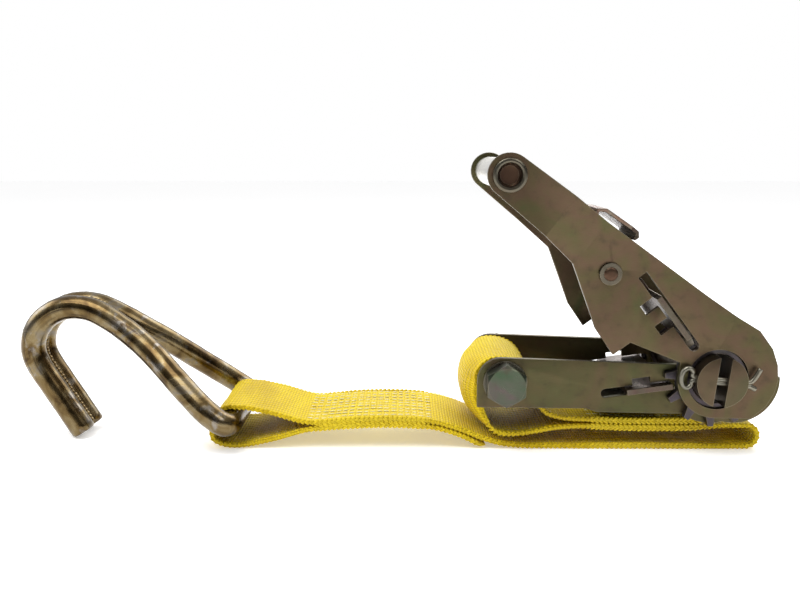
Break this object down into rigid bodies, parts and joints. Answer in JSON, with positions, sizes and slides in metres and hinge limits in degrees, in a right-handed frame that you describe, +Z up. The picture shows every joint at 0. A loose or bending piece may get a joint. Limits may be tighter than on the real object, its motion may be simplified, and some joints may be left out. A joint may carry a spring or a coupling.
{
  "type": "ratchet tie down",
  "caption": "Ratchet buckle with a folding handle, toothed mandrel and sprung pawls on a sewn webbing strap that ends in a double J hook.",
  "frame": {"origin": "on the floor, at the underside of the webbing, straight below the mandrel axis", "axes": "+X from the hook towards the buckle, +Y across the webbing, +Z up"},
  "size_m": [0.3907, 0.1032, 0.1504],
  "materials": {
    "webbing": "woven polyester, satin",
    "thread": "sewing thread",
    "plate_zinc": "yellow zinc plated, iridescent",
    "bolt_zinc": "yellow zinc plated, greenish",
    "pawl_zinc": "yellow zinc plated, pinkish",
    "spring_steel": "bright",
    "mandrel_steel": "satin, yellow zinc",
    "wheel_steel": "grey purple zinc",
    "grip_steel": "pale bright zinc",
    "rivet_steel": "coppery",
    "hook_zinc": "golden brown, glossy"
  },
  "bodies": {
    "strap": {"webbing_strap": "webbing", "hook_loop_stitching": "thread", "bolt_loop_stitching": "thread"},
    "hook": {"hook_wire": "hook_zinc", "hook_weld": "hook_zinc"},
    "frame": {"frame_side_plate_near": "plate_zinc", "frame_side_plate_far": "plate_zinc", "frame_web_plate": "plate_zinc", "anchor_bolt": "bolt_zinc", "anchor_nut": "bolt_zinc", "anchor_washers": "bolt_zinc", "anchor_sleeve": "bolt_zinc", "lock_pawl_spring": "spring_steel"},
    "lock_pawl": {"lock_pawl": "pawl_zinc"},
    "mandrel": {"mandrel_half_left": "mandrel_steel", "mandrel_half_right": "mandrel_steel", "ratchet_wheel_near": "wheel_steel", "ratchet_wheel_far": "wheel_steel", "split_pin_near": "spring_steel", "split_pin_far": "spring_steel"},
    "handle": {"handle_side_plate_near": "plate_zinc", "handle_side_plate_far": "plate_zinc", "handle_web_plate": "plate_zinc", "grip_tube": "grip_steel", "grip_rivet": "rivet_steel", "tie_tube": "rivet_steel", "tie_rivet": "rivet_steel", "tie_washers": "rivet_steel", "drive_pawl_spring": "spring_steel"},
    "drive_pawl": {"drive_pawl": "pawl_zinc"}
  },
  "joints": [
    {"name": "frame_swing", "type": "hinge", "parent": "strap", "child": "frame", "pos_m": [-0.104, 0, 0.0366], "axis": [0, -1, 0], "range_deg": [0, 60]},
    {"name": "hook_swing", "type": "hinge", "parent": "strap", "child": "hook", "pos_m": [-0.2435, 0, 0.014], "axis": [0, 1, 0], "range_deg": [0, 90]},
    {"name": "mandrel_spin", "type": "hinge", "parent": "frame", "child": "mandrel", "pos_m": [0, 0, 0.04], "axis": [0, 1, 0], "continuous": true},
    {"name": "handle_swing", "type": "hinge", "parent": "frame", "child": "handle", "pos_m": [0, 0, 0.04], "axis": [0, 1, 0], "range_deg": [-30, 120]},
    {"name": "lock_pawl_slide", "type": "slide", "parent": "frame", "child": "lock_pawl", "axis": [-0.9903, 0, -0.1392], "range_m": [0, 0.006], "stiffness_N_per_m": 800, "springref_m": -0.004, "deforming": ["lock_pawl_spring"]},
    {"name": "drive_pawl_slide", "type": "slide", "parent": "handle", "child": "drive_pawl", "axis": [-0.606, 0, 0.7955], "range_m": [-0.0028, 0.004], "stiffness_N_per_m": 1500, "deforming": ["drive_pawl_spring"]}
  ]
}
